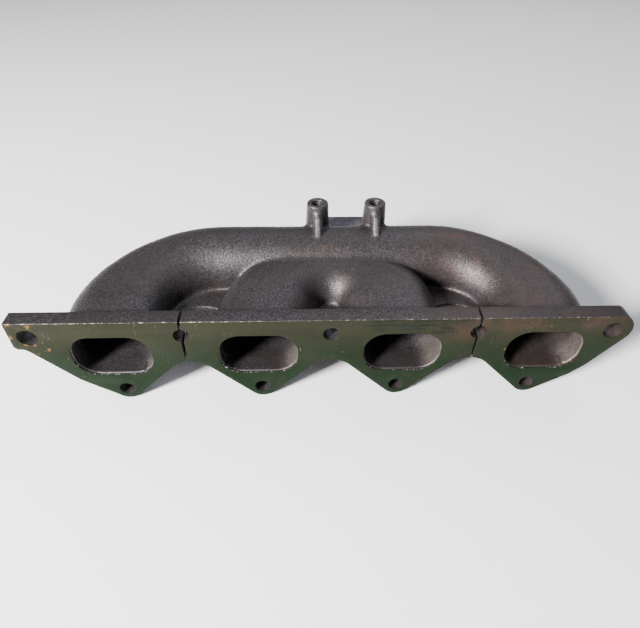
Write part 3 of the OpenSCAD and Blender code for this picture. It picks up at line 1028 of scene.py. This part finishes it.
def thread(name, post):
    tree = NodeTree("thread_rule")
    pitch = tree.size("Pitch", THREAD_PITCH * MM)
    turns = tree.size("Turns", float(THREAD_TURNS))
    radius = tree.size("Ridge radius", (HOLE_R + THREAD_DEPTH - 0.12) * MM)
    start_z = POST_TOP - 2.0 - THREAD_TURNS * THREAD_PITCH
    foot = tree.size("Foot", [post[0] * MM, post[1] * MM, start_z * MM], "Vector")
    height = tree.add("ShaderNodeMath", settings={"operation": "MULTIPLY"}, i0=pitch, i1=turns)
    spiral = tree.add("GeometryNodeCurveSpiral", Resolution=40, Rotations=turns, Start_Radius=radius,
                      End_Radius=radius, Height=height)
    ridge = tree.add("GeometryNodeCurvePrimitiveCircle", Resolution=4, Radius=0.5 * MM)
    body = tree.add("GeometryNodeCurveToMesh", Curve=spiral, Profile_Curve=ridge, Fill_Caps=True)
    return tree.bake(name, tree.add("GeometryNodeTransform", Geometry=body, Translation=foot), POST_IRON)


threads = [thread(f"thread_{side}", post) for side, post in zip(("left", "right"), POSTS)]

# %% [markdown]
# ## Parting line
# The mould splits where the pipes are widest, so a thin fin of iron runs along both runners and
# the back of the collector. The tree sweeps a thin round profile along the path, and lets it
# wander a little up and down, because a fin is broken off by hand and ground roughly.

# %% Parting line
def widest(side, u_low, u_high, steps):
    """Points on the skin's widest line, from place u_low to u_high along the outer arch."""
    out = []
    for u in np.linspace(u_low, u_high, steps):
        i = int(np.clip(np.searchsorted(outer_arch.u, u), 1, len(outer_arch.u) - 1))
        p, q = outer_arch.points[i - 1], outer_arch.points[i]
        t = (u - outer_arch.u[i - 1]) / max(outer_arch.u[i] - outer_arch.u[i - 1], 1e-6)
        x, y = mix(p, q, np.clip(t, 0, 1))
        near, far_end = ease(u), ease(u - 1)
        a, _, _ = [mix(mix(s0, s1, near), s2, far_end) for s0, s1, s2 in zip(*outer_arch.sections)]
        run = (q - p) / np.linalg.norm(q - p)
        z = mix(outer_arch.lift[0] * near, outer_arch.lift[1], far_end)
        out.append((side * (x + run[1] * a), y - run[0] * a, float(z)))
    return out


back_y = LOG_Y + LOG_HALF_W
back_left = [(x, back_y, LOG_Z) for x in np.linspace(-76, -14, 32)]
back_right = [(x, back_y, LOG_Z) for x in np.linspace(76, 50, 14)]
fins = polyline("fin_paths", [widest(side, 0.2, 1.999, 120) + back
                              for side, back in ((-1, back_left), (1, back_right))])
tree = NodeTree("parting_line_rule")
step = tree.size("Step", 1.5 * MM)
wander = tree.size("Wander", 0.5 * MM)
path = tree.add("GeometryNodeMeshToCurve", i0=tree.start.outputs[0])
path = tree.add("GeometryNodeResampleCurve", settings={"mode": "LENGTH"}, Curve=path, Length=step)
ripple = tree.add("ShaderNodeTexNoise", out=1, Scale=60.0, Detail=2.0)
ripple = tree.add("ShaderNodeVectorMath", settings={"operation": "SUBTRACT"}, i0=ripple, i1=(0.5, 0.5, 0.5))
ripple = tree.add("ShaderNodeVectorMath", settings={"operation": "SCALE"}, i0=ripple, Scale=wander)
path = tree.add("GeometryNodeSetPosition", Geometry=path, Offset=ripple)
oval = tree.add("GeometryNodeCurvePrimitiveCircle", Resolution=8, Radius=0.62 * MM)
fin = tree.add("GeometryNodeCurveToMesh", Curve=path, Profile_Curve=oval, Fill_Caps=True)
parting_line = tree.bake("parting_line", fin, CAST, fins)

# %% [markdown]
# ## Burnt-on grit
# Grains of moulding sand fuse to the iron and stay as low pimples. The tree scatters points on
# the skin with a fixed seed and sets a small flattened ball on each, half sunk.

# %% Grit
tree = NodeTree("grit_rule")
density = tree.size("Pimples per square metre", 14000.0)
grain_size = tree.size("Grain", 0.42 * MM)
scatter = tree.group.nodes.new("GeometryNodeDistributePointsOnFaces")
tree.group.links.new(tree.start.outputs[0], scatter.inputs["Mesh"])
tree.group.links.new(density, scatter.inputs["Density"])
scatter.inputs["Seed"].default_value = 7
ball = tree.add("GeometryNodeMeshIcoSphere", Radius=grain_size, Subdivisions=1)
scale = tree.random_vector((0.4, 0.4, 0.25), (1.3, 1.3, 0.6), 3)
grit = tree.add("GeometryNodeInstanceOnPoints", Points=scatter.outputs["Points"], Instance=ball,
                Rotation=scatter.outputs["Rotation"], Scale=scale)
grit = tree.add("GeometryNodeSetShadeSmooth", Geometry=grit)
burnt_grit = tree.bake("burnt_on_grit", grit, CAST, casting.data)

# %% [markdown]
# ## Nicks along the flange's edges
# Iron flanges get knocked in a crate. Along the front top edge and the lower lips of the ports
# the arris is bruised, and each bruise shows bare metal.

# %% Nicks
def edge_chains():
    runs = ((FLANGE_LOW[0] + 2, -SLIT_X - 2), (-SLIT_X + 2, SLIT_X - 2), (SLIT_X + 2, 176))
    chains = [[(x0, 0, FLANGE_TOP), (x1, 0, FLANGE_TOP)] for x0, x1 in runs]
    for k in (-1.5, -0.5, 0.5, 1.5):
        opening = rounded_opening(k * PORT_PITCH, PORT_W, PORT_H, PORT_R)
        lip = [(x, 0, z) for x, z in opening if z < -6]
        chains.append(sorted(lip, key=lambda p: math.atan2(p[0] - k * PORT_PITCH, -p[2])))
    return chains


tree = NodeTree("nick_rule")
gap_step = tree.size("Step", 1.1 * MM)
chance = tree.size("Chance", 0.30)
chip_size = tree.size("Chip", 0.55 * MM)
path = tree.add("GeometryNodeMeshToCurve", i0=tree.start.outputs[0])
path = tree.add("GeometryNodeResampleCurve", settings={"mode": "LENGTH"}, Curve=path, Length=gap_step)
chip = tree.add("GeometryNodeMeshIcoSphere", Radius=chip_size, Subdivisions=1)
keep = tree.add("FunctionNodeRandomValue", settings={"data_type": "BOOLEAN"}, out=3,
                Probability=chance, Seed=11)
turn_by = tree.random_vector((0, -0.5, 0), (0, 0.5, 0), 5)
grow = tree.random_vector((0.5, 0.2, 0.3), (2.2, 0.4, 0.8), 9)
chips = tree.add("GeometryNodeInstanceOnPoints", Points=path, Selection=keep, Instance=chip,
                 Rotation=turn_by, Scale=grow)
edge_nicks = tree.bake("edge_nicks", chips, WORN, polyline("nick_paths", edge_chains()))

# %% [markdown]
# ## What stands for what
# The one cast skin stands for every pipe section, web and neck of the CAD model, the posts for
# posts and ribs, and each plate for its own CAD plate.

# %% Frame bookkeeping
SKIN_NODES = ["port_neck_1", "port_neck_2", "port_neck_3", "port_neck_4", "runner_1", "runner_2",
              "runner_3", "runner_4", "collector_log", "web_left", "web_centre", "web_right", "outlet_neck"]
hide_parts(*SKIN_NODES)
for plate, node in zip(flange, ("flange_left", "flange_centre", "flange_right")):
    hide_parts(node)
for piece, side in zip(posts, ("left", "right")):
    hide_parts(f"shield_post_{side}", f"post_rib_{side}")
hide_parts("outlet_flange")
details = threads + [parting_line, burnt_grit, edge_nicks]
for piece in [casting, outlet_plate] + posts + flange + details:
    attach(piece, "root")

# %% [markdown]
# ## Floor, light and camera
# A pale floor and a bright room keep the dark iron readable. The key light stands to the left,
# high and in front, so each bend shows a bright shoulder; a weak cool fill comes from behind.

# %% Floor
FLOOR_HALF = 4000
floor_mesh = bpy.data.meshes.new("floor")
floor_mesh.from_pydata([(sx * FLOOR_HALF * MM, sy * FLOOR_HALF * MM, (FLOOR_Z - 0.05) * MM)
                        for sx, sy in ((-1, -1), (1, -1), (1, 1), (-1, 1))], [], [(0, 1, 2, 3)])
floor = stand("floor", floor_mesh)
floor_paint = Maker("floor_paint")
floor_paint.set(Base_Color=rgb(0.93, 0.93, 0.93), Roughness=0.9)
floor_mesh.materials.append(floor_paint.material)

# %% Lights


def soft_light(name, place, aim, size, power, colour):
    data = bpy.data.lights.new(name, "AREA")
    data.shape = "DISK"
    data.size = size
    data.energy = power
    data.color = colour
    lamp = stand(name, data)
    lamp.location = place
    direction = Vector(aim) - Vector(place)
    lamp.rotation_euler = direction.to_track_quat("-Z", "Y").to_euler()


soft_light("key", (-0.93, -0.84, 0.73), (0, 0.05, 0), 0.32, 114, (1.0, 0.98, 0.96))
soft_light("fill", (0.6, 1.0, 1.4), (0, 0.05, 0), 1.6, 13, (0.90, 0.94, 1.0))
world = bpy.data.worlds.new("room")
world.use_nodes = True
world.node_tree.nodes["Background"].inputs["Color"].default_value = rgb(0.90, 0.94, 1.0)
world.node_tree.nodes["Background"].inputs["Strength"].default_value = 0.28
bpy.context.scene.world = world

# %% Camera
YAW, TILT, ROLL = math.radians(-2.481), math.radians(41.498), math.radians(0.938)
forward = Vector((-math.sin(YAW) * math.cos(TILT), math.cos(YAW) * math.cos(TILT), -math.sin(TILT)))
level = Vector((math.cos(YAW), math.sin(YAW), 0))
above = level.cross(forward)
right = math.cos(ROLL) * level + math.sin(ROLL) * above
up = -math.sin(ROLL) * level + math.cos(ROLL) * above
camera_data = bpy.data.cameras.new("camera")
camera_data.sensor_width = 36.0
camera_data.lens = 28.84
camera = stand("camera", camera_data)
turn = Matrix((right, up, -forward)).transposed().to_4x4()
camera.matrix_world = Matrix.Translation((-0.01738, -0.23066, 0.23853)) @ turn
bpy.context.scene.camera = camera
